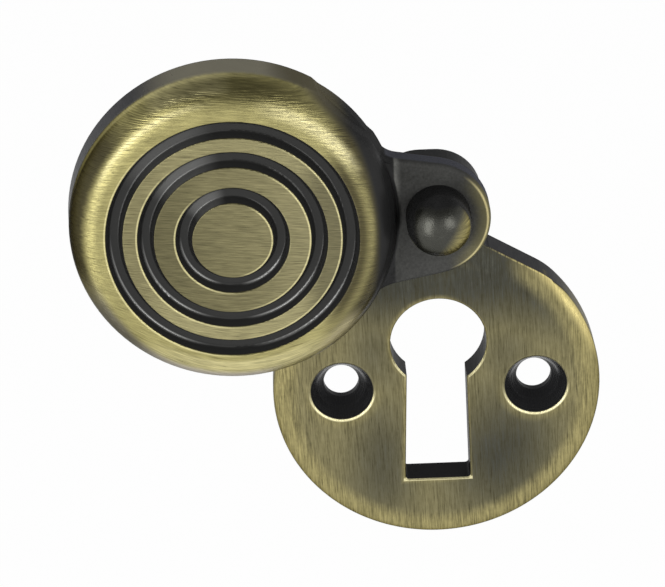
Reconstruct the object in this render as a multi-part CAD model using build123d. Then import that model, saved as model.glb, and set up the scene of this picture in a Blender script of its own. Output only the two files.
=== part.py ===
from build123d import *
import os
from math import cos, pi, radians, sin, sqrt, tan

# Keyhole escutcheon with a swinging cover, in millimetres.
# It is fixed upright on a door: X runs to the right, Z up, and the front faces -Y.
# The origin is midway between the two screw holes, on the back face of the plate.
# A height is measured forward from that back face. The cover is swung out to the left.

# Back plate: a disc with an ear for the pivot
plate_radius = 16.25
plate_thickness = 3.3
plate_drop = 0.3  # the disc's centre is this far below the row of screw holes
plate_side = 0.2  # and, with the slot, this far to the left of their middle
shoulder_cut = 0.32  # depth of the flats that the disc has on both sides of the ear
shoulder_lean = 30.4  # angle of the flats from level
shoulder_round = 8.0  # where the flats run out into the disc
ear_radius = 4.5
ear_left = 1.5  # the ear is this much wider on the left, behind the arm
ear_neck_round = 0.6

# Rounding of the disc's front edge, which fades out on both sides below the ear
rim_round = 1.2  # width on the front face
rim_over = 0.05  # the rounding's curve ends this far outside the rim
fade_least = 0.05  # width where the fade ends
fade_start = 36.0  # angles on the disc between which it fades
fade_end = 50.0
fade_sections = 5

# Screw holes for countersunk wood screws
screw_spacing = 19.25
screw_bore_radius = 1.75
screw_sink_radius = 3.15
screw_bore_length = 0.8  # straight part at the back; the countersink takes the rest

# Keyhole: a round bow above a slot that widens downwards
bow_radius = 4.75
bow_height = 5.0
slot_top_width = 5.75  # at the height of the bow's centre
slot_foot_width = 6.55
slot_foot = -10.15
slot_corner_round = 0.35
edge_break = 0.12  # softened front edges of the keyhole and the screw holes

# Pivot
shoulder_radius = 2.0  # the part of the rivet that the arm turns on
tenon_radius = 1.5  # the part that is held in the ear
tail_radius = 2.3  # the tail, peened flush into the back of the ear
tail_depth = 0.8
head_radius = 3.1
head_post = 2.0  # straight part of the head, below its half ball
head_gap = 0.9  # between the head and the cover's side
turning_clearance = 0.05  # radial, between the arm and the rivet
end_clearance = 0.1  # behind the arm, and again between the arm and the rivet's head

# Cover: a turned boss with three ring grooves, hollow behind
cover_radius = 15.6  # where the rounding meets the side
cover_draft = 4.0  # angle of the side, which is wider at the back
cover_depth = 6.6
cover_round_width = 3.3  # the rounding from the side to the flat front
cover_rise = 0.15  # the closed cover's centre is this far above the row of screw holes
cover_flat = 0.33  # depth of the flat on its side, above the arm
cover_flat_angle = 45.0  # from the arm's direction
land_widths = [0.3, 1.35, 2.0]  # flat lands from the rounding inwards, each with a groove inside it
groove_widths = [1.65, 1.6, 1.6]
groove_depth = 1.0
groove_draft = 20.0
groove_floor_round = 0.25
groove_edge_round = 0.1
hollow_wall = 3.0  # from the hollow's mouth out to the cover's radius
hollow_depth = 3.0
hollow_draft = 8.0
hollow_round = 1.2

# Arm: a flat tongue, one casting with the cover
arm_thickness = 2.2
arm_end_radius = 5.75
arm_end_back = 0.65  # the centre of the arm's round end, from the pivot towards the cover
arm_drop = 0.6  # the arm's outline lies a little off the line from the pivot to the cover
arm_flare_top = 9.5  # angles at which its sides open towards the cover
arm_flare_foot = 11.5
arm_neck_top = 2.5  # hollow corners in plan, where its sides meet the cover
arm_neck_foot = 4.5
arm_edge_round = 0.5
arm_cove = 0.6  # hollow corner between the arm's face and the cover's side

# Places that follow from the sizes above
arm_back = plate_thickness + end_clearance
arm_face = arm_back + arm_thickness
head_seat = arm_face + end_clearance
cover_front = arm_back + cover_depth
side_top = arm_face + arm_cove  # where the cover's rounding begins
cover_foot = cover_radius + (side_top - arm_back) * tan(radians(cover_draft))
hollow_radius = cover_radius - hollow_wall
arm_length = cover_radius + head_gap + head_radius  # from the pivot to the cover's centre
pivot_height = arm_length + cover_rise  # above the row of screw holes, so that the cover closes centrally
disc_centre = (-plate_side, -plate_drop)
pivot_place = (0, pivot_height)
cover_centre = (-arm_length, pivot_height)

cut_past = 1.0  # how far a cutting shape runs past the surface that it cuts
same = 0.01  # two positions closer than this count as one


def at_height(height):
    """Drawing plane parallel to the door: local X is right, local Y is up."""
    return Plane.XZ.offset(height)


def prism(outline, start, end):
    return extrude(at_height(start) * outline, end - start)


def turned(profile, place=(0, 0)):
    """Turn a profile of (radius, -height) points about the axis that points forward."""
    return Pos(place[0], 0, place[1]) * revolve(profile, Axis.Y, 360)


def outline_of(points):
    """Closed profile through points given as (radius, height)."""
    return make_face(Polyline([(radius, -height) for radius, height in points], close=True))


def shoulder_waste(side):
    """What a flat takes off the disc: side is 1 on the right of the ear and -1 on the left."""
    beyond = Pos(0, 1.5 * plate_radius - shoulder_cut) * Rectangle(2 * plate_radius, plate_radius)
    return Rot(0, 0, -side * shoulder_lean) * beyond


def plate_outline():
    disc = Circle(plate_radius) - shoulder_waste(1) - shoulder_waste(-1)
    disc = fillet(disc.vertices().group_by(Axis.Y)[0], shoulder_round)
    ear_width = 2 * ear_radius + ear_left
    tongue = Pos(-ear_left / 2, pivot_height / 2) * Rectangle(ear_width, pivot_height)
    ear = Pos(-ear_left / 2, pivot_height) * SlotOverall(ear_width, 2 * ear_radius)
    outline = Pos(*disc_centre) * disc + tongue + ear
    necks = outline.vertices().filter_by(
        lambda v: abs(abs(v.X + ear_left / 2) - ear_width / 2) < same and v.Y < pivot_height - same)
    return fillet(necks, ear_neck_round)


def rim_waste(width):
    """Section of what the rounding takes off the rim where it is this wide: X outwards, Y forward."""
    inner = plate_radius - width
    low = plate_thickness - width
    high = plate_thickness + cut_past
    outer = plate_radius + cut_past
    return make_face([
        EllipticalCenterArc((inner, low), width + rim_over, width, 0, arc_size=90),
        Polyline((inner, plate_thickness), (inner, high), (outer, high), (outer, low),
                 (plate_radius + rim_over, low))])


def across_rim(angle):
    """Plane square to the rim at an angle on the disc: local X is outwards, local Y forward."""
    right = cos(radians(angle))
    up = sin(radians(angle))
    return Plane(origin=(disc_centre[0], 0, disc_centre[1]), x_dir=(right, 0, up), z_dir=(up, 0, -right))


def fade(on_left):
    """Waste of the rounding along the stretch where it narrows towards the ear."""
    sections = []
    for i in range(fade_sections):
        share = i / (fade_sections - 1)
        angle = fade_start + (fade_end - fade_start) * share
        width = fade_least + (rim_round - fade_least) * (1 + cos(pi * share)) / 2
        sections.append(across_rim(180 - angle if on_left else angle) * rim_waste(width))
    return loft(sections)


def keyhole():
    bow = Pos(0, bow_height) * Circle(bow_radius)
    slot = make_face(Polyline([
        (-slot_top_width / 2, bow_height), (slot_top_width / 2, bow_height),
        (slot_foot_width / 2, slot_foot), (-slot_foot_width / 2, slot_foot)], close=True))
    slot = fillet(slot.vertices().group_by(Axis.Y)[0], slot_corner_round)
    return bow + Pos(-plate_side, 0) * slot


def screw_hole():
    """Straight bore at the back, then a long countersink with a softened front edge."""
    slope = (screw_sink_radius - screw_bore_radius) / (plate_thickness - screw_bore_length)
    soft_radius = screw_sink_radius - slope * edge_break
    return turned(outline_of([
        (0, -cut_past), (screw_bore_radius, -cut_past), (screw_bore_radius, screw_bore_length),
        (soft_radius, plate_thickness - edge_break), (screw_sink_radius + edge_break, plate_thickness),
        (screw_sink_radius + edge_break, plate_thickness + cut_past), (0, plate_thickness + cut_past)]))


def rivet_hole():
    return turned(outline_of([
        (0, -cut_past), (tail_radius, -cut_past), (tail_radius, 0), (tenon_radius, tail_depth),
        (tenon_radius, plate_thickness + cut_past), (0, plate_thickness + cut_past)]), pivot_place)


def back_plate():
    plate = prism(plate_outline(), 0, plate_thickness)
    plate -= prism(keyhole(), -cut_past, plate_thickness + cut_past)
    front = plate.faces().sort_by(Axis.Y)[0]
    plate = chamfer(front.inner_wires()[0].edges(), edge_break)
    forward_axis = Axis((disc_centre[0], 0, disc_centre[1]), (0, 1, 0))
    plate -= revolve(across_rim(fade_start) * rim_waste(rim_round), forward_axis, 180 + 2 * fade_start)
    plate -= fade(on_left=False)
    plate -= fade(on_left=True)
    for side in (-1, 1):
        plate -= Pos(side * screw_spacing / 2, 0, 0) * screw_hole()
    return plate - rivet_hole()


def groove_edges():
    """Inner and outer radius of each ring groove, from the rounding inwards."""
    edges = []
    radius = cover_radius - cover_round_width
    for land, width in zip(land_widths, groove_widths):
        edges.append((radius - land - width, radius - land))
        radius -= land + width
    return edges


def cover_section():
    """Half section of the cover from its axis outwards, with the grooves and the hollow back."""
    flat = cover_radius - cover_round_width
    section = make_face([
        Line((0, -cover_front), (flat, -cover_front)),
        EllipticalCenterArc((flat, -side_top), cover_round_width, cover_front - side_top, 270, arc_size=90),
        Polyline((cover_radius, -side_top), (cover_foot, -arm_back), (0, -arm_back), (0, -cover_front))])
    edges = []
    for inner, outer in groove_edges():
        section -= groove_section(inner, outer)
        edges += [inner, outer]
    corners = section.vertices().filter_by(
        lambda v: abs(v.Y + cover_front) < same and any(abs(v.X - radius) < same for radius in edges))
    return fillet(corners, groove_edge_round) - hollow_section()


def groove_section(inner, outer):
    slope = tan(radians(groove_draft))
    above = cover_front + cut_past
    floor = cover_front - groove_depth
    groove = outline_of([
        (inner - cut_past * slope, above), (inner + groove_depth * slope, floor),
        (outer - groove_depth * slope, floor), (outer + cut_past * slope, above)])
    return fillet(groove.vertices().group_by(Axis.Y)[-1], groove_floor_round)


def hollow_section():
    roof = arm_back + hollow_depth
    slope = tan(radians(hollow_draft))
    hollow = outline_of([
        (0, arm_back - cut_past), (hollow_radius + cut_past * slope, arm_back - cut_past),
        (hollow_radius - hollow_depth * slope, roof), (0, roof)])
    corner = hollow.vertices().filter_by(lambda v: abs(v.Y + roof) < same and v.X > same)
    return fillet(corner, hollow_round)


def arm_side(up, flare):
    """One side of the arm, from its round end to inside the cover: up is 1 above and -1 below."""
    lean = radians(flare)
    reach = arm_length - cover_radius + arm_end_radius
    start_x = -arm_end_back + arm_end_radius * sin(lean)
    start_z = pivot_height - arm_drop + up * arm_end_radius * cos(lean)
    return [(start_x, start_z), (start_x - reach, start_z + up * reach * tan(lean))]


def arm_outline():
    """The arm in plan, run into the ring of the cover's wall that it grows from."""
    top = arm_side(1, arm_flare_top)
    foot = arm_side(-1, arm_flare_foot)
    tongue = make_face(Polyline(top + foot[::-1], close=True))
    round_end = Pos(-arm_end_back, pivot_height - arm_drop) * Circle(arm_end_radius)
    outline = round_end + tongue + Pos(*cover_centre) * Circle(cover_radius)
    for place, size in ((-1, arm_neck_top), (0, arm_neck_foot)):
        necks = outline.vertices().sort_by(Axis.X)[:2].sort_by(Axis.Y)
        outline = fillet(necks[place], size)
    return outline - Pos(*cover_centre) * Circle((cover_radius + hollow_radius) / 2)


def cove_ring():
    """Hollow corner of round section around the foot of the cover's side, above the arm."""
    foot = cover_radius + arm_cove
    low = arm_face - arm_edge_round
    high = arm_face + arm_cove
    inside = cover_radius - arm_cove
    ring = make_face([
        Polyline((cover_radius, -high), (inside, -high), (inside, -low), (foot, -low), (foot, -arm_face)),
        CenterArc((foot, -high), arm_cove, 90, 90)])
    return turned(ring, cover_centre)


def flat_waste():
    """What the flat above the arm takes off the cover's side."""
    depth = cover_radius - cover_flat
    half_width = sqrt(cover_foot ** 2 - depth ** 2) + same
    beyond = Pos(depth + cover_round_width / 2, 0) * Rectangle(cover_round_width, 2 * half_width)
    outline = Pos(*cover_centre) * Rot(0, 0, cover_flat_angle) * beyond
    return prism(outline, arm_back - cut_past, cover_front)


def swing_cover():
    outline = arm_outline()
    arm = prism(outline, arm_back, arm_face)
    rim = arm.faces().sort_by(Axis.Y)[0].outer_wire().edges()
    arm = fillet(rim, arm_edge_round)
    inset = offset(outline, -arm_edge_round)
    cove = cove_ring() & prism(inset, arm_back, cover_front)
    cover = turned(cover_section(), cover_centre) - flat_waste() + arm + cove
    bore = Pos(*pivot_place) * Circle(shoulder_radius + turning_clearance)
    return cover - prism(bore, arm_back - cut_past, arm_face + cut_past)


def pivot_rivet():
    """Shouldered rivet: tail, tenon in the ear, shoulder under the arm's bore and a round head."""
    ball = head_seat + head_post
    section = make_face([
        Polyline([
            (0, -(ball + head_radius)), (0, 0), (tail_radius, 0), (tenon_radius, -tail_depth),
            (tenon_radius, -plate_thickness), (shoulder_radius, -plate_thickness),
            (shoulder_radius, -head_seat), (head_radius, -head_seat), (head_radius, -ball)]),
        CenterArc((0, -ball), head_radius, 270, 90)])
    return turned(section, pivot_place)


os.makedirs("parts", exist_ok=True)
export_step(back_plate(), "parts/back_plate.step")
export_step(swing_cover(), "parts/swing_cover.step")
export_step(pivot_rivet(), "parts/pivot_rivet.step")
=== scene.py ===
import bpy
from math import cos, pi, radians, sin
from mathutils import Matrix, Vector

# Antique brass keyhole escutcheon: a plate, a ring-turned cover that swings aside, and its rivet.
# X is right, Z is up and the front faces -Y, as in the CAD model. Objects are in metres, and the
# finishes measure the surface in millimetres.

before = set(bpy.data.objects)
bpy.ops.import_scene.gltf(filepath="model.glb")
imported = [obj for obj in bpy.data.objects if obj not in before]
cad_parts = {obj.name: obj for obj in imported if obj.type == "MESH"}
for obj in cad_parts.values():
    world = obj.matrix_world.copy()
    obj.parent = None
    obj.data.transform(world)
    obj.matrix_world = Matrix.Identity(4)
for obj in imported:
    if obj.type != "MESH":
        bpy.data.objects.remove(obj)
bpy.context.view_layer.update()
mm = 0.001
print("frame loaded:", sorted(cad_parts))


# camera
cameraLook = {
    "place": (-14.37, -257.03, 129.14),  # mm
    "target": (-10.27, -3.3, 10.79),
    "roll": -1.755,  # degrees
    "lens": 155.47,
    "sensor": 36.0,
    "nearest": 0.01,  # m, what is closer isn't drawn
}


def makeCamera(look):
    data = bpy.data.cameras.new("camera")
    data.lens = look["lens"]
    data.sensor_width = look["sensor"]
    data.clip_start = look["nearest"]
    camera = bpy.data.objects.new("camera", data)
    bpy.context.scene.collection.objects.link(camera)
    place = Vector(look["place"]) * mm
    aim = (Vector(look["target"]) * mm - place).to_track_quat("-Z", "Y").to_matrix()
    turned = aim @ Matrix.Rotation(radians(look["roll"]), 3, "Z")
    camera.matrix_world = Matrix.Translation(place) @ turned.to_4x4()
    bpy.context.scene.camera = camera


makeCamera(cameraLook)
print("camera placed")


# what the three brass finishes share
brassLook = {
    "refraction": 1.2,
    "gloss": (118, 118, 116),
    "lacquerRough": 0.22,
    "noiseSpread": 8.0,  # makes the noise run from about -1 to 1
    "streakDepth": 0.7,  # streaks for each mm of depth
    "streakDetail": 2.0,
    "streakRough": 0.55,
}


class Value:
    # a number or a vector inside a material, so that shader maths reads as plain expressions
    def __init__(self, finish, socket):
        self.finish = finish
        self.socket = socket

    def __add__(self, other):
        return self.finish.math("ADD", self, other)

    def __radd__(self, other):
        return self.finish.math("ADD", other, self)

    def __sub__(self, other):
        return self.finish.math("SUBTRACT", self, other)

    def __rsub__(self, other):
        return self.finish.math("SUBTRACT", other, self)

    def __mul__(self, other):
        return self.finish.math("MULTIPLY", self, other)

    def __rmul__(self, other):
        return self.finish.math("MULTIPLY", other, self)

    def __truediv__(self, other):
        return self.finish.math("DIVIDE", self, other)

    def __rtruediv__(self, other):
        return self.finish.math("DIVIDE", other, self)


class Finish:
    # the nodes of one material, or of the world
    def __init__(self, owner):
        owner.use_nodes = True
        self.tree = owner.node_tree
        self.tree.nodes.clear()

    def node(self, kind, settings, inputs, out=0):
        made = self.tree.nodes.new(kind)
        for name, setting in settings.items():
            setattr(made, name, setting)
        for name, value in inputs.items():
            if isinstance(value, Value):
                self.tree.links.new(value.socket, made.inputs[name])
            else:
                made.inputs[name].default_value = value
        return Value(self, made.outputs[out] if made.outputs else None)

    def math(self, operation, *values):
        return self.node("ShaderNodeMath", {"operation": operation}, dict(enumerate(values)))

    def absolute(self, value):
        return self.math("ABSOLUTE", value)

    def most(self, *values):
        best = values[0]
        for value in values[1:]:
            best = self.math("MAXIMUM", best, value)
        return best

    def least(self, *values):
        best = values[0]
        for value in values[1:]:
            best = self.math("MINIMUM", best, value)
        return best

    def ramp(self, value, low, high):
        # 0 at low and 1 at high, with a smooth step between
        return self.node("ShaderNodeMapRange", {"interpolation_type": "SMOOTHSTEP"},
                         {"Value": value, "From Min": low, "From Max": high})

    def part(self, value, low, high, strength):
        # a ramp that ends at this strength
        return self.ramp(value, low, high) * strength

    def band(self, value, low, high, soft):
        # 1 between low and high, 0 outside
        return self.ramp(value, low - soft, low + soft) * self.ramp(value, high + soft, high - soft)

    def away(self, across, up):
        # distance from the point where both are 0
        return self.math("SQRT", across * across + up * up)

    def blob(self, across, up, size):
        # 1 where both are 0, and nothing from this distance on
        return self.ramp(self.away(across, up), size, 0.0)

    def towards(self, across, up, reach, way, low, high):
        # 1 on this way from the centre, 0 well beside it: low and high are cosines of the angle
        return self.ramp((up * way[1] + across * way[0]) / reach, low, high)

    def vector(self, x, y, z):
        return self.node("ShaderNodeCombineXYZ", {}, {0: x, 1: y, 2: z})

    def mix(self, share, first, second):
        return self.node("ShaderNodeMix", {"data_type": "RGBA"},
                         {0: share, 6: first, 7: second}, out=2)

    def times(self, colour, level):
        part = colour if isinstance(colour, Value) else colour[:3]
        return self.node("ShaderNodeVectorMath", {"operation": "SCALE"}, {0: part, "Scale": level})

    def blend(self, values, shares):
        # the values added up, each with its own share
        total = values[0] * shares[0]
        for value, share in zip(values[1:], shares[1:]):
            total = total + value * share
        return total

    def noise(self, place, detail, rough=0.5):
        # mostly between -1 and 1
        level = self.node("ShaderNodeTexNoise", {}, {
            "Vector": place, "Scale": 1.0, "Detail": detail, "Roughness": rough})
        return (level - 0.5) * brassLook["noiseSpread"]

    def patches(self, place, size, detail=2.0):
        # noise in patches of this size, mm
        return self.noise(self.vector(*[part / wide for part, wide in zip(place, size)]), detail)

    def rings(self, reach, width):
        # noise in rings, as a lathe or a drill leaves them
        return self.noise(self.vector(reach / width, 0.0, 0.0), 1.0)

    def brushed(self, across, depth, along, width, length, shift):
        # streaks of the brush: the shift keeps one kind from lying on another
        place = self.vector((across + shift) / width, depth * brassLook["streakDepth"],
                            along / length)
        return self.noise(place, brassLook["streakDetail"], brassLook["streakRough"])

    def millimetres(self):
        # place on the piece: right, forward of the door and up
        place = self.node("ShaderNodeTexCoord", {}, {}, out="Object")
        split = self.node("ShaderNodeSeparateXYZ", {}, {0: place})
        x, y, z = split.socket.node.outputs
        return Value(self, x) * 1000.0, Value(self, y) * -1000.0, Value(self, z) * 1000.0

    def surface(self, colour, rough, metal, lacquer, height, lift):
        # the lift is in mm
        normal = self.node("ShaderNodeBump", {}, {
            "Strength": 1.0, "Distance": lift * mm, "Height": height})
        shader = self.node("ShaderNodeBsdfPrincipled", {}, {
            "Base Color": colour, "Roughness": rough, "Metallic": metal, "Normal": normal,
            "IOR": brassLook["refraction"], "Specular Tint": opaque(brassLook["gloss"]),
            "Coat Weight": lacquer, "Coat Roughness": brassLook["lacquerRough"]})
        self.node("ShaderNodeOutputMaterial", {}, {"Surface": shader})


def tint(red, green, blue):
    # a screen colour, 0 to 255, as the shader's own values
    return tuple((part / 255 / 12.92) if part < 11 else ((part / 255 + 0.055) / 1.055) ** 2.4
                 for part in (red, green, blue))


def opaque(colour):
    return (*tint(*colour), 1.0)


def beside(level, shifts):
    return level + shifts[0], level + shifts[1]


# light, floor and world
roomLook = {
    "floorHeight": -100.0,  # mm
    "floorSize": 3.0,  # m
    "floorColour": (248, 248, 248),
    "floorWhite": 0.98,  # share of plain white that the camera and reflections see
    "horizon": 1.1,
    "above": 0.14,
    "sky": (0.05, 0.95),  # heights between which the horizon fades into what is above
}
lamps = {
    "leftBox": {"towards": (-0.63, -0.71, 0.15), "distance": 0.34, "size": (0.15, 0.32),
                "level": 3.0},
    "rightBox": {"towards": (0.56, -0.74, 0.34), "distance": 0.34, "size": (0.18, 0.18),
                 "level": 2.6},
}
middle = Vector((-10.0, -5.0, 10.0)) * mm  # what the lamps face


def makeLamp(name, look):
    data = bpy.data.lights.new(name, "AREA")
    data.shape = "RECTANGLE"
    data.size, data.size_y = look["size"]
    data.energy = look["level"] * pi * data.size * data.size_y
    lamp = bpy.data.objects.new(name, data)
    bpy.context.scene.collection.objects.link(lamp)
    towards = Vector(look["towards"]).normalized()
    place = middle + towards * look["distance"]
    facing = (-towards).to_track_quat("-Z", "Y").to_matrix()
    lamp.matrix_world = Matrix.Translation(place) @ facing.to_4x4()


def makeFloor(look):
    bpy.ops.object.select_all(action="DESELECT")
    bpy.ops.mesh.primitive_plane_add(size=look["floorSize"],
                                     location=(0, 0, look["floorHeight"] * mm))
    floor = bpy.context.object
    floor.name = "floor"
    material = bpy.data.materials.new("paleFloor")
    finish = Finish(material)
    ray = finish.node("ShaderNodeLightPath", {}, {}).socket.node.outputs
    seen = finish.most(*[Value(finish, ray[name]) for name in
                         ("Is Camera Ray", "Is Glossy Ray", "Is Transmission Ray")])
    plain = finish.node("ShaderNodeBsdfDiffuse", {}, {"Color": opaque(look["floorColour"])})
    white = finish.node("ShaderNodeEmission", {}, {"Color": (1, 1, 1, 1), "Strength": 1.0})
    shown = finish.node("ShaderNodeMixShader", {},
                        {0: seen * look["floorWhite"], 1: plain, 2: white})
    finish.node("ShaderNodeOutputMaterial", {}, {"Surface": shown})
    floor.data.materials.append(material)


def makeWorld(look):
    world = bpy.data.worlds.new("studio")
    bpy.context.scene.world = world
    finish = Finish(world)
    towards = finish.node("ShaderNodeTexCoord", {}, {}, out="Generated")
    split = finish.node("ShaderNodeSeparateXYZ", {}, {0: towards}).socket.node.outputs
    height = Value(finish, split[2])
    level = look["horizon"] + finish.part(height, *look["sky"], look["above"] - look["horizon"])
    background = finish.node("ShaderNodeBackground", {},
                             {"Color": (1, 1, 1, 1), "Strength": level})
    finish.node("ShaderNodeOutputWorld", {}, {"Surface": background})


makeFloor(roomLook)
makeWorld(roomLook)
for lampName, lampLook in lamps.items():
    makeLamp(lampName, lampLook)
bpy.context.scene.view_settings.view_transform = "Standard"
print("floor, world and lamps made")


# plate
# A pair is where a mask is 0 and where it is 1. A third number is the mask's strength, or how soft
# a band's two ends are. Places and sizes are in mm.
plateLook = {
    "centre": (-0.2, -0.3),  # of the disc
    "radius": 16.25,
    "front": 3.3,
    "shoulder": 15.93,  # from the disc's centre to the flats beside the ear
    "shoulderLean": 30.4,  # degrees
    "bow": (0.0, 5.0),
    "bowRadius": 4.75,
    "slotMiddle": -0.2,
    "slotTop": 2.875,  # half widths, at the bow's centre and at the foot
    "slotBottom": 3.275,
    "slotFoot": -10.15,
    "screws": 9.625,  # each side of the middle
    "sinkRadius": 3.15,

    "brass": (128, 121, 87),
    "grey": (68, 68, 60),
    "worn": (176, 164, 108),
    "rimGlow": (240, 222, 150),
    "pale": (255, 246, 196),
    "patina": (35, 35, 39),
    "wallBrass": (124, 119, 98),
    "sink": (49, 49, 50),
    "sinkLight": (226, 226, 228),

    # brush: width, length and shift of each kind of streak
    "lean": 2.5,  # degrees from upright
    "fine": (0.09, 1.8, 0.0),
    "middling": (0.19, 3.0, 40.0),
    "broad": (0.5, 5.0, -25.0),
    "cloud": (5.0, 6.0, 7.0),
    "mottle": (0.35, 0.35, 0.45),
    "streakShares": (0.75, 0.45, 0.12, 0.2),  # fine, middling, broad and mottle
    "streakLevel": 0.3,
    "cloudLevel": 0.04,

    # where the brass is bare: the front and the rim's rounding
    "frontEdge": (-0.17, -0.08),
    "roundingStart": (14.6, 15.0),
    "roundingRim": (-0.02, -0.14),
    "roundingShoulder": (-0.01, -0.08),
    "roundingDepth": (1.7, 2.0),

    # where the front is greyer
    "earShade": (3.0, 11.5),
    "earShadeLeft": (-11.0, -5.5),
    "darkSpots": (  # across, up, share of the upward distance that counts, size and strength
        (6.2, -7.5, 0.75, 9.5, 0.95),
        (-5.8, -8.0, 0.55, 5.8, 0.75),
        (-6.2, 4.5, 0.6, 4.5, 0.5),
        (6.5, 4.0, 0.7, 4.5, 0.45)),
    "shadeCloud": 0.06,
    "shadeStreaks": 0.12,

    # where the patina is thin: round the keyhole and the screw holes, and along the rim
    "keyHalo": (0.6, 0.1),
    "keyHaloLeft": (3.0, 0.0),
    "sinkHalo": (1.2, 0.0),
    "sinkHaloLow": (1.5, -2.0),
    "haloClears": 0.4,
    "haloWorn": 0.2,
    "rimWear": (13.4, 15.2),
    "rimStreaks": 0.12,
    "rimWearTop": (13.9, 12.0),
    "rimWearRight": (6.5, 9.5, 0.7),
    "rimClears": 0.85,
    "rimWorn": 0.45,

    # painted highlight on the rim on the right: its strength, and how far the streaks change it
    "glowWay": (0.84, 0.54),
    "glowSpan": (14.6, 16.0),
    "glowRim": (14.8, 15.9),
    "glow": (0.72, 0.08),

    # worn edges, painted brighter as highlights on the right shoulder and along the lower edges of
    # the keyhole and the countersinks
    "shoulderLine": (-0.12, 0.1),
    "shoulderSoft": 0.04,
    "shoulderRight": (3.5, 9.0),
    "shoulderWorn": (0.3, 0.35),
    "keyEdge": (0.24, 0.13),
    "keyWorn": 0.25,
    "keyPale": 0.7,
    "footEdge": (-9.9, -10.12),
    "cornerHeight": (0.8, 3.0, 0.9),
    "cornerOut": (0.05, 0.25),
    "sinkLine": (-0.05, 0.18),
    "sinkSoft": 0.08,
    "sinkPale": 0.05,
    "sinkPaleLow": (0.5, -2.2, 0.75),

    # walls: brass on the rim, darkest in the keyhole, and painted shade round the ear behind the
    # arm
    "rimWall": (16.0, 16.15),
    "rimWallTop": (15.9, 14.2),
    "rimWallBack": (0.05, 0.15),
    "keyWall": (0.3, 0.1),
    "earWall": (15.0, 17.0),
    "earWallBack": (0.05, 0.2),
    "wallDarker": 0.6,
    "wallCloud": 0.08,
    "wallMottle": 0.06,

    # countersinks, with a painted reflection as a light crescent under the top, and the drill's
    # rings
    "sinkInside": (0.02, -0.08),
    "crescent": (2.7, 2.0),
    "crescentTop": (0.2, 1.4),
    "crescentDepth": (1.6, 2.0),
    "crescentLight": 0.9,
    "ringWidth": 0.1,

    "rough": 0.36,
    "roughStreaks": 0.03,
    "sinkSmoother": 0.1,
    "metal": (0.5, 0.45),  # patina, and what bare brass adds
    "lacquer": 0.1,
    "crescentLacquer": 0.5,
    "ringHeight": 0.8,
    "lift": 0.008,
}


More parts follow.
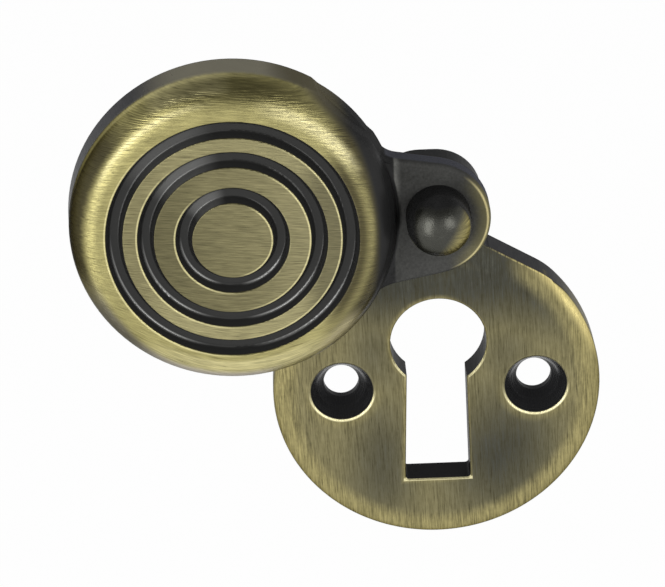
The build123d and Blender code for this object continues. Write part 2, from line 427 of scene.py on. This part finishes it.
def plateFinish(look):
    material = bpy.data.materials.new("plateBrass")
    f = Finish(material)
    x, depth, z = f.millimetres()
    lean = radians(look["lean"])
    across = x * cos(lean) + z * sin(lean)
    along = z * cos(lean) - x * sin(lean)
    right = x - look["centre"][0]
    up = z - look["centre"][1]
    reach = f.away(right, up)
    sinkAway = f.least(*[f.away(x - side * look["screws"], z) for side in (-1, 1)])

    # distance outside the keyhole's outline
    bowX, bowZ = look["bow"]
    bowGap = f.away(x - bowX, z - bowZ) - look["bowRadius"]
    widening = (look["slotBottom"] - look["slotTop"]) / (bowZ - look["slotFoot"])
    halfWidth = (bowZ - z) * widening + look["slotTop"]
    slotGap = f.most(f.absolute(x - look["slotMiddle"]) - halfWidth, look["slotFoot"] - z,
                     z - bowZ)
    keyGap = f.least(bowGap, slotGap)

    # the brush left the front bare, and the walls kept their patina
    shoulder = radians(look["shoulderLean"])
    leaning = f.absolute(right) * sin(shoulder) + up * cos(shoulder)
    onRounding = (f.ramp(reach, *look["roundingStart"])
                  * f.ramp(reach, *beside(look["radius"], look["roundingRim"]))
                  * f.ramp(leaning, *beside(look["shoulder"], look["roundingShoulder"]))
                  * f.ramp(depth, *look["roundingDepth"]))
    onFront = f.ramp(depth, *beside(look["front"], look["frontEdge"]))
    inSink = f.ramp(sinkAway, *beside(look["sinkRadius"], look["sinkInside"]))
    bare = f.most(onFront, onRounding) * (1.0 - inSink)

    fine, middling, broad = [f.brushed(across, depth, along, *look[kind])
                             for kind in ("fine", "middling", "broad")]
    cloud = f.patches((x, depth, z), look["cloud"])
    mottle = f.patches((x, depth, z), look["mottle"])
    streaks = f.blend((fine, middling, broad, mottle), look["streakShares"])

    # the front is greyer towards the ear and in spots beside the slot
    shade = f.ramp(z, *look["earShade"]) * f.ramp(x, *look["earShadeLeft"])
    for spotX, spotZ, stretch, size, strength in look["darkSpots"]:
        shade = f.most(shade, f.blob(x - spotX, (z - spotZ) * stretch, size) * strength)
    keyHalo = f.ramp(keyGap, *look["keyHalo"]) * f.ramp(x, *look["keyHaloLeft"])
    sinkHalo = (f.ramp(sinkAway, *beside(look["sinkRadius"], look["sinkHalo"]))
                * f.ramp(z, *look["sinkHaloLow"]))
    halo = f.most(keyHalo, sinkHalo)
    offEar = f.most(f.ramp(leaning, *look["rimWearTop"]), f.part(right, *look["rimWearRight"]))
    edge = f.ramp(reach + streaks * look["rimStreaks"], *look["rimWear"]) * offEar
    shade = (shade * (1.0 - halo * look["haloClears"]) * (1.0 - edge * look["rimClears"])
             + cloud * look["shadeCloud"] + streaks * look["shadeStreaks"])
    face = f.mix(shade, opaque(look["brass"]), opaque(look["grey"]))
    face = f.mix(edge * look["rimWorn"] + halo * look["haloWorn"], face, opaque(look["worn"]))
    face = f.times(face, 1.0 + streaks * look["streakLevel"] + cloud * look["cloudLevel"])

    # painted highlight on the rim on the right
    glowX, glowZ = look["glowWay"]
    glow = (f.ramp(right * glowX + up * glowZ, *look["glowSpan"])
            * f.ramp(reach, *look["glowRim"]))
    level, change = look["glow"]
    face = f.mix(glow * (level + streaks * change), face, opaque(look["rimGlow"]))

    # worn edges of the shoulders, the keyhole and the countersinks, painted brighter as highlights
    # on the right shoulder and along the lower edges
    shoulderHighlight = (f.band(leaning, *beside(look["shoulder"], look["shoulderLine"]),
                           look["shoulderSoft"]) * f.ramp(right, *look["shoulderRight"]))
    level, change = look["shoulderWorn"]
    face = f.mix(shoulderHighlight * (level + streaks * change), face, opaque(look["rimGlow"]))
    keyEdge = f.ramp(keyGap, *look["keyEdge"])
    below = f.most(f.ramp(z, *look["footEdge"]),
                   f.band(z, *look["cornerHeight"]) * f.ramp(slotGap, *look["cornerOut"]))
    face = f.mix(keyEdge * look["keyWorn"], face, opaque(look["worn"]))
    # painted highlight along the keyhole's lower edges
    face = f.mix(keyEdge * below * look["keyPale"], face, opaque(look["pale"]))
    # the countersinks' rims are painted brighter on their lower half as a highlight
    sinkEdge = f.band(sinkAway, *beside(look["sinkRadius"], look["sinkLine"]), look["sinkSoft"])
    face = f.mix(sinkEdge * (look["sinkPale"] + f.part(z, *look["sinkPaleLow"])), face,
                 opaque(look["pale"]))

    # walls and countersinks, with painted shade round the ear and a painted reflection in the
    # countersinks
    rimWall = (f.ramp(reach, *look["rimWall"]) * f.ramp(leaning, *look["rimWallTop"])
               * f.ramp(depth, *look["rimWallBack"]))
    wall = f.mix(rimWall, opaque(look["patina"]), opaque(look["wallBrass"]))
    # darker in the keyhole, and painted shade on the ear's wall behind the arm
    darkKeyAndShadedEar = f.most(f.ramp(keyGap, *look["keyWall"]),
                    f.ramp(z, *look["earWall"]) * f.ramp(depth, *look["earWallBack"]))
    wall = f.times(wall, (1.0 + cloud * look["wallCloud"] + mottle * look["wallMottle"])
                   * (1.0 - darkKeyAndShadedEar * look["wallDarker"]))
    # painted reflection: a light crescent under the top of each countersink
    crescent = (f.ramp(sinkAway, *look["crescent"]) * f.ramp(z, *look["crescentTop"])
                * f.ramp(depth, *look["crescentDepth"]))
    sink = f.mix(crescent * look["crescentLight"], opaque(look["sink"]),
                 opaque(look["sinkLight"]))
    wall = f.mix(inSink, wall, sink)
    rings = f.rings(sinkAway, look["ringWidth"]) * inSink

    colour = f.mix(bare, wall, face)
    rough = look["rough"] + streaks * look["roughStreaks"] - inSink * look["sinkSmoother"]
    metal = look["metal"][0] + bare * look["metal"][1]
    lacquer = bare * look["lacquer"] + inSink * crescent * look["crescentLacquer"]
    f.surface(colour, rough, metal, lacquer, fine * bare + rings * look["ringHeight"],
              look["lift"])
    return material


# cover
# Places are measured from the cover's centre, and pairs are as in the plate's look. Depths are
# forward of the door. A way is the direction from the centre, across and up.
coverLook = {
    "centre": (-19.6, 19.75),
    "radius": 15.6,
    "grooves": ((10.35, 12.0), (7.4, 9.0), (3.8, 5.4)),  # inner and outer radius
    "armEnd": (-0.65, 19.15),  # from the plate's middle
    "armEndRadius": 5.75,

    "brass": (130, 124, 90),
    "dome": (164, 156, 104),
    "lit": (214, 205, 152),
    "dusk": (80, 74, 46),
    "patina": (62, 58, 46),
    "side": (48, 48, 52),
    "sideTop": (140, 136, 120),
    "sideFlat": (58, 57, 52),
    "sideFlatTop": (104, 99, 80),
    "limb": (112, 108, 98),
    "limbLow": (210, 203, 192),
    "limbRight": (208, 197, 152),
    "line": (246, 236, 176),
    "groove": (63, 63, 62),
    "floor": (56, 56, 55),
    "sheen": (150, 150, 148),
    "wall": (49, 49, 49),
    "back": (62, 59, 50),
    "arm": (71, 71, 69),
    "armRoot": (124, 124, 120),
    "armWorn": (140, 133, 92),
    "armLine": (250, 236, 176),
    "armSide": (84, 85, 92),

    # brush: width, length and shift of each kind of streak
    "lean": -4.0,  # degrees from level
    "bend": 0.0007,  # how far the streaks curve, and how much more below
    "bendLow": (3.0, -7.0, 0.0025),
    "fine": (0.09, 1.8, 0.0),
    "middling": (0.18, 3.0, 40.0),
    "broad": (0.5, 5.0, -25.0),
    "cloud": (6.0, 6.0, 5.0),
    "grain": (0.22, 0.22, 0.22),
    "streakShares": (0.75, 0.45, 0.12),  # fine, middling and broad
    "streakLevel": 0.24,
    "cloudLevel": 0.04,

    # lands: duller on the left of the inner ones and on the right of the outer one
    "outerLand": (7.8, 8.8),
    "innerLevel": (0.9, 0.04),  # in the middle, and more for each mm to the right
    "outerLevel": 1.28,
    "outerRight": (6.2, 8.4, 0.55),
    "outerLeft": (-5.0, -9.0, 0.24),
    "outerLow": (-5.5, -9.0, 0.25),

    # dome: a painted reflection of the floor below, patina and painted shade on the right except
    # for a painted highlight ridge, a painted dark reflection above, and painted highlights
    "onDome": (11.2, 12.1),
    "domeLow": (-9.5, -13.0),
    "domeLowOut": (12.4, 12.9, 0.7),
    "dull": (6.8, 9.8),
    "dullMiddle": -3.0,
    "dullCurve": 0.12,
    "ridge": 13.1,
    "ridgeHalf": (0.8, 0.0),
    "ridgeClears": 0.42,
    "patchPlace": (1.0, 14.4),
    "patchStretch": 0.2,
    "patchSize": 1.7,
    "patch": (0.4, 0.12),  # strength, and how far the streaks change it
    # painted highlights on the dome
    "shines": (  # band, way, fade beside the way and strength
        ((13.5, 13.95, 0.22), (-0.6, 0.8), (0.82, 0.99), 0.55),
        ((12.9, 14.0, 0.4), (0.6, 0.8), (0.88, 0.98), 0.65)),
    "topShine": (14.2, 14.8),
    "topShineWay": (-0.25, 0.97),
    "topShineFade": (0.955, 0.99),
    "topShineStrength": 0.6,
    "foot": (12.4, 13.0, 0.3),
    "footWay": (-0.87, 0.5),
    "footFade": (0.7, 0.95),
    "footDarker": 0.16,

    # limb: dark on the left, a painted reflection of the floor below, and a painted reflection on
    # the lower right
    "limbLeft": (13.7, 14.5),
    "limbLeftWay": (-0.55, -0.8),
    "limbLeftStreaks": 0.15,
    "limbLowWay": (-0.15, -0.55),
    "limbLowRight": (5.0, 1.5),
    "limbLowStart": (13.2, 14.2),
    "limbLowStreaks": 0.12,
    "limbLowWider": (-0.6, -0.9, 0.5),
    "limbLowTone": (-0.7, -1.0),
    "limbStrength": 0.9,
    "limbRightStart": (13.0, 14.2),
    "limbRightBand": (8.2, 11.6, 1.2),
    "limbRightLow": (-7.0, -9.5),
    "limbRightStrength": 0.75,

    # side, painted lighter towards the top, with a worn line where the brush ended, and the flat
    # above the arm, also painted lighter above; next to the arm, patina deepened as painted shade
    "sideLine": (-0.16, -0.02),
    "sideLineSoft": 0.06,
    "sideLineTop": (2.0, 9.0),
    "sideLineEnd": (14.0, 12.0),
    "sideLineStrength": 0.25,
    "sideEdge": (-0.06, 0.01),
    "sideLight": (0.8, 1.0),
    "flat": (14.5, 15.3),
    "flatStreaks": 0.05,
    "flatLight": (9.5, 13.5),
    "flatNear": (13.0, 14.8),
    "wallStart": (13.2, 14.1),
    "wallCurve": (0.023, 0.011),  # above and below the middle
    "wallStreaks": 0.05,

    # grooves, with thin worn edges painted bright as highlights on the sides that face the light, a
    # painted sheen, and painted highlight lines on the floors
    "edgeShift": 0.08,
    "edgeHalf": (0.12, 0.03),
    "edgeWays": ((0.98, -0.17), (-0.93, -0.36)),  # inner and outer edge
    "edgeFade": (0.1, 0.75),
    "edgeDepth": (9.86, 9.95),
    "edge": (0.55, 0.1),
    "grooved": (12.2, 12.05),
    "grooveDepth": (9.97, 9.86),
    "floorDepth": (9.06, 9.02),
    "floorTone": (9.25, 9.05),
    "sheenWay": (-0.56, 0.83),
    "sheenFade": (0.88, 1.0),
    "sheenLevel": 0.2,
    "sheenInner": (10.6, 8.6, 0.16),
    "turnedWays": (((-0.8, -0.6), (0.75, 1.0)), ((0.6, -0.8), (0.85, 1.0))),
    "turnedIn": 0.42,  # from the groove's outer radius
    "turnedHalf": (0.16, 0.04),
    "turnedStrength": 0.8,
    "ringWidth": 0.1,

    # arm: dark, with a painted reflection along its root, painted shade at its foot against the
    # cover, and a worn rim at its round end with a painted highlight line on its right
    "armStart": (15.85, 16.0),
    "armFace": (7.2, 6.6),
    "armRootStart": (15.35, 15.55),
    "armRootEnd": (16.2, 15.55),
    "armRootTop": (-1.0, 4.0),
    "armRootStrength": 0.8,
    "armFoot": (15.55, 15.3),
    "armCloud": 0.08,
    "armGrain": 0.1,
    "armWay": (0.99, -0.14),
    "armWayFade": (0.42, 0.9),
    "armWear": (3.9, 5.5),
    "armWearStreaks": 0.1,
    "armWearStrength": 0.55,
    "armRim": (-0.4, -0.24),
    "armRimSoft": 0.1,
    "armRimDepth": (5.1, 5.3),
    "armRimStrength": 0.7,
    "armSideDepth": (5.3, 4.9),

    # the back and the hollow are as cast
    "backDepth": (3.52, 3.44),
    "hollowRadius": (14.4, 14.2),
    "hollowDepth": (8.9, 8.7),
    "backCloud": 0.15,
    "backGrain": 0.12,

    "rough": 0.32,
    "roughStreaks": 0.03,
    "grooveSmoother": 0.1,
    "castRougher": 0.08,
    "flatRougher": 0.35,
    "metal": (0.95, 0.45),  # bare brass, and what the dark places lack
    "lacquer": 0.12,
    "lacquerRight": (0.0, 10.0, 0.25),
    "grooveLacquer": 0.1,
    "ringHeight": 0.2,
    "grainHeight": 0.3,
    "lift": 0.008,
}


def coverFinish(look):
    material = bpy.data.materials.new("coverBrass")
    f = Finish(material)
    x, depth, z = f.millimetres()
    u = x - look["centre"][0]
    v = z - look["centre"][1]
    reach = f.away(u, v)
    lean = radians(look["lean"])
    along = u * cos(lean) + v * sin(lean)
    bend = look["bend"] + f.part(v, *look["bendLow"])
    across = (v * cos(lean) - u * sin(lean)) * (1.0 + u * u * bend)

    fine, middling, broad = [f.brushed(across, depth, along, *look[kind])
                             for kind in ("fine", "middling", "broad")]
    cloud = f.patches((u, depth, v), look["cloud"])
    grain = f.patches((x, depth, z), look["grain"])
    streaks = f.blend((fine, middling, broad), look["streakShares"])

    # lands
    level, change = look["innerLevel"]
    inner = level + u * change
    outer = (look["outerLevel"] - f.part(u, *look["outerRight"]) - f.part(u, *look["outerLeft"])
             + f.part(v, *look["outerLow"]))
    level = inner + (outer - inner) * f.ramp(reach, *look["outerLand"])
    face = f.times(opaque(look["brass"]), level)

    # dome, with painted reflections, shade and highlights
    # painted reflection of the floor: the dome is lighter below
    low = f.ramp(v, *look["domeLow"]) * f.part(reach, *look["domeLowOut"])
    dome = f.mix(low, opaque(look["dome"]), opaque(look["lit"]))
    # patina towards the arm with painted shade, cleared along a ridge that is a painted highlight
    dull = f.ramp(u - f.absolute(v - look["dullMiddle"]) * look["dullCurve"], *look["dull"])
    ridge = f.ramp(f.absolute(reach - look["ridge"]), *look["ridgeHalf"])
    dome = f.mix(dull * (1.0 - ridge * look["ridgeClears"]), dome, opaque(look["dusk"]))
    # painted dark reflection at the top of the dome
    patchX, patchZ = look["patchPlace"]
    patch = f.blob((u - patchX) * look["patchStretch"], v - patchZ, look["patchSize"])
    level, change = look["patch"]
    dome = f.mix(patch * (level + streaks * change), dome, opaque(look["dusk"]))
    # painted highlights on the dome
    shine = (f.ramp(reach, *look["topShine"])
             * f.towards(u, v, reach, look["topShineWay"], *look["topShineFade"])
             * look["topShineStrength"])
    for span, way, fade, strength in look["shines"]:
        shine = f.most(shine, f.band(reach, *span) * f.towards(u, v, reach, way, *fade) * strength)
    dome = f.mix(shine, dome, opaque(look["lit"]))
    foot = f.band(reach, *look["foot"]) * f.towards(u, v, reach, look["footWay"],
                                                    *look["footFade"])
    dome = f.times(dome, 1.0 - foot * look["footDarker"])
    face = f.mix(f.ramp(reach, *look["onDome"]), face, dome)
    face = f.times(face, 1.0 + streaks * look["streakLevel"] + cloud * look["cloudLevel"])

    # limb, with painted reflections below and on the lower right
    lowness = f.ramp(v / reach, *look["limbLowWay"]) * f.ramp(u, *look["limbLowRight"])
    leftLimb = (f.ramp(reach + streaks * look["limbLeftStreaks"], *look["limbLeft"])
                * f.ramp(u / reach, *look["limbLeftWay"]) * (1.0 - lowness))
    face = f.mix(leftLimb * look["limbStrength"], face, opaque(look["patina"]))
    # painted reflection of the floor, lighter towards the bottom
    limbTone = f.mix(f.ramp(v / reach, *look["limbLowTone"]), opaque(look["limb"]),
                     opaque(look["limbLow"]))
    limbReach = (reach + streaks * look["limbLowStreaks"]
                 - f.part(v / reach, *look["limbLowWider"]))
    lowLimb = f.ramp(limbReach, *look["limbLowStart"]) * lowness
    face = f.mix(lowLimb * look["limbStrength"], face, limbTone)
    # painted reflection on the lower right
    rightLimbReflection = (f.ramp(reach, *look["limbRightStart"]) * f.band(u, *look["limbRightBand"])
                 * f.ramp(v, *look["limbRightLow"]))
    face = f.mix(rightLimbReflection * look["limbRightStrength"], face, opaque(look["limbRight"]))

    # side, painted lighter towards the top; next to the arm, patina deepened as painted shade
    flatAway = (u + v) * 0.70711  # towards the flat, at 45 degrees
    sideLine = (f.band(reach, *beside(look["radius"], look["sideLine"]), look["sideLineSoft"])
                * f.ramp(v, *look["sideLineTop"]))
    sideLine = sideLine * f.ramp(flatAway, *look["sideLineEnd"]) * look["sideLineStrength"]
    face = f.mix(sideLine, face, opaque(look["line"]))
    side = f.most(f.ramp(reach, *beside(look["radius"], look["sideEdge"])),
                  f.ramp(flatAway + streaks * look["flatStreaks"], *look["flat"]))
    # painted light: the side and the flat are lighter towards the top
    sideTone = f.mix(f.ramp(v / reach, *look["sideLight"]), opaque(look["side"]),
                     opaque(look["sideTop"]))
    flatTone = f.mix(f.ramp(v, *look["flatLight"]), opaque(look["sideFlat"]),
                     opaque(look["sideFlatTop"]))
    nearFlat = f.ramp(flatAway, *look["flatNear"])
    face = f.mix(side, face, f.mix(nearFlat, sideTone, flatTone))
    curveUp, curveDown = look["wallCurve"]
    curve = f.most(v, 0.0) * v * curveUp + f.least(v, 0.0) * v * curveDown
    # patina next to the arm, deepened as painted shade in the corner
    wall = f.ramp(u + curve + streaks * look["wallStreaks"], *look["wallStart"])
    face = f.mix(wall, face, opaque(look["wall"]))

    # grooves, with painted highlights on worn edges and floors, and a painted sheen
    # worn groove edges, painted bright as highlights on the sides that face the light
    edges = []
    for radii in look["grooves"]:
        for radius, way, shift in zip(radii, look["edgeWays"],
                                      (-look["edgeShift"], look["edgeShift"])):
            edges.append(f.ramp(f.absolute(reach - radius - shift), *look["edgeHalf"])
                         * f.towards(u, v, reach, way, *look["edgeFade"]))
    edge = f.most(*edges) * f.ramp(depth, *look["edgeDepth"])
    level, change = look["edge"]
    face = f.mix(edge * (level + streaks * change), face, opaque(look["line"]))
    inGroove = f.ramp(reach, *look["grooved"]) * f.ramp(depth, *look["grooveDepth"])
    onFloor = f.ramp(depth, *look["floorDepth"]) * inGroove
    hollow = f.mix(f.ramp(depth, *look["floorTone"]), opaque(look["groove"]),
                   opaque(look["floor"]))
    # painted sheen on the grooves' floors and walls
    sheen = (f.towards(u, v, reach, look["sheenWay"], *look["sheenFade"])
             * (look["sheenLevel"] + f.part(reach, *look["sheenInner"])))
    # painted highlight lines on the floors' outer rounding, lower left and lower right
    bright = f.most(*[f.towards(u, v, reach, way, *fade) for way, fade in look["turnedWays"]])
    turned = f.most(*[f.ramp(f.absolute(reach - radii[1] + look["turnedIn"]),
                             *look["turnedHalf"]) for radii in look["grooves"]])
    hollow = f.mix(f.most(sheen, bright * turned * look["turnedStrength"]), hollow,
                   opaque(look["sheen"]))
    face = f.mix(inGroove, face, hollow)
    rings = f.rings(reach, look["ringWidth"]) * onFloor

    # arm, with a painted reflection at its root, painted shade at its foot and a painted highlight
    # on its worn rim
    onArm = f.ramp(reach, *look["armStart"]) * f.ramp(depth, *look["armFace"])
    endX = x - look["armEnd"][0]
    endZ = z - look["armEnd"][1]
    endAway = f.away(endX, endZ)
    facing = f.towards(endX, endZ, endAway, look["armWay"], *look["armWayFade"])
    # painted reflection in the cove at the arm's root
    rootReflection = (f.ramp(u, *look["armRootStart"]) * f.ramp(u, *look["armRootEnd"])
            * f.ramp(v, *look["armRootTop"]))
    arm = f.mix(rootReflection * look["armRootStrength"], opaque(look["arm"]), opaque(look["armRoot"]))
    # painted shade where the arm meets the cover
    arm = f.mix(f.ramp(u, *look["armFoot"]), arm, opaque(look["wall"]))
    arm = f.times(arm, 1.0 + cloud * look["armCloud"] + grain * look["armGrain"])
    wear = f.ramp(endAway + streaks * look["armWearStreaks"], *look["armWear"]) * facing
    arm = f.mix(wear * look["armWearStrength"], arm, opaque(look["armWorn"]))
    # painted highlight line along the right of the worn rim
    armRim = (f.band(endAway, *beside(look["armEndRadius"], look["armRim"]), look["armRimSoft"])
              * facing * f.ramp(depth, *look["armRimDepth"]))
    arm = f.mix(armRim * look["armRimStrength"], arm, opaque(look["armLine"]))
    arm = f.mix(f.ramp(depth, *look["armSideDepth"]), arm, opaque(look["armSide"]))
    colour = f.mix(onArm, face, arm)

    # back and hollow
    back = f.most(f.ramp(depth, *look["backDepth"]),
                  f.ramp(reach, *look["hollowRadius"]) * f.ramp(depth, *look["hollowDepth"]))
    backTone = f.times(opaque(look["back"]),
                       1.0 + cloud * look["backCloud"] + grain * look["backGrain"])
    colour = f.mix(back, colour, backTone)

    cast = f.most(onArm, back)
    dark = f.most(inGroove, side, wall, cast)
    polished = 1.0 - dark
    rough = (look["rough"] + streaks * look["roughStreaks"] - inGroove * look["grooveSmoother"]
             + cast * look["castRougher"] + side * nearFlat * look["flatRougher"])
    metal = look["metal"][0] - dark * look["metal"][1]
    lacquer = (polished * (1.0 - leftLimb) * (look["lacquer"] + f.part(u, *look["lacquerRight"]))
               + inGroove * (1.0 - back) * look["grooveLacquer"])
    height = (fine * polished + rings * (1.0 - back) * look["ringHeight"]
              + grain * cast * look["grainHeight"])
    f.surface(colour, rough, metal, lacquer, height, look["lift"])
    return material


# rivet
# Places are measured from the middle of the head, and pairs are as in the plate's look.
rivetLook = {
    "centre": (0.0, 19.75),
    "cap": (71, 71, 66),
    "brass": (158, 148, 98),
    "rim": (150, 146, 124),
    "patina": (48, 48, 48),
    "cloud": (1.2, 1.2, 1.2),
    "grain": (0.15, 0.15, 0.15),
    "rays": (9.0, 0.5),  # for each radian round the head, and for each mm outwards

    # the head is brass in the middle, and most of all on its lower right, and dark towards its top
    # and left, with a painted reflection as a light rim at its bottom
    "capLeft": (-2.6, -2.2),
    "capTop": (2.45, 2.05),
    "capRim": (2.98, 2.8),
    "capDepth": (5.0, 6.0),
    "capCloud": 0.08,
    "wornWay": (0.85, -0.5),
    "worn": (0.7, 2.2),
    "wornStrength": (0.85, 0.15),
    "lowRim": (2.86, 3.02, 0.06),
    "lowRimLow": (-0.5, -2.2),
    "lowRimStrength": 0.6,

    "faceShares": (0.05, 0.04, 0.14),  # cloud, grain and rays
    "patinaShares": (0.1, 0.06),
    "heightShares": (0.15, 0.2, 0.15),
    "rough": 0.28,
    "roughGrain": 0.02,
    "metal": (0.5, 0.4),  # patina, and what the cap adds
    "lacquer": 0.1,
    "lift": 0.01,
}


def rivetFinish(look):
    material = bpy.data.materials.new("rivetBrass")
    f = Finish(material)
    x, depth, z = f.millimetres()
    u = x - look["centre"][0]
    v = z - look["centre"][1]
    reach = f.away(u, v)
    cloud = f.patches((u, depth, v), look["cloud"], 3.0)
    grain = f.patches((u, depth, v), look["grain"])
    turn = f.math("ARCTAN2", v, u)
    rays = f.noise(f.vector(turn * look["rays"][0], reach * look["rays"][1], 0.0), 2.0)

    wobble = cloud * look["capCloud"]
    cap = (f.ramp(u + wobble, *look["capLeft"]) * f.ramp(v + wobble, *look["capTop"])
           * f.ramp(reach, *look["capRim"]) * f.ramp(depth, *look["capDepth"]))
    wornX, wornZ = look["wornWay"]
    worn = f.ramp(u * wornX + v * wornZ, *look["worn"])
    level, change = look["wornStrength"]
    face = f.mix(worn * (level + rays * change), opaque(look["cap"]), opaque(look["brass"]))
    face = f.times(face, 1.0 + f.blend((cloud, grain, rays * worn), look["faceShares"]))
    patina = f.times(opaque(look["patina"]), 1.0 + f.blend((cloud, grain), look["patinaShares"]))
    colour = f.mix(cap, patina, face)
    # painted reflection of the floor: a thin light rim at the bottom of the head
    lowRim = f.band(reach, *look["lowRim"]) * f.ramp(v, *look["lowRimLow"])
    colour = f.mix(lowRim * look["lowRimStrength"], colour, opaque(look["rim"]))
    f.surface(colour, look["rough"] + grain * look["roughGrain"],
              look["metal"][0] + cap * look["metal"][1], cap * look["lacquer"],
              f.blend((cloud, grain, rays), look["heightShares"]), look["lift"])
    return material


finishes = (("back_plate", plateFinish, plateLook), ("swing_cover", coverFinish, coverLook),
            ("pivot_rivet", rivetFinish, rivetLook))
for node, make, look in finishes:
    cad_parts[node].material_slots[0].material = make(look)
    print("finished", node)
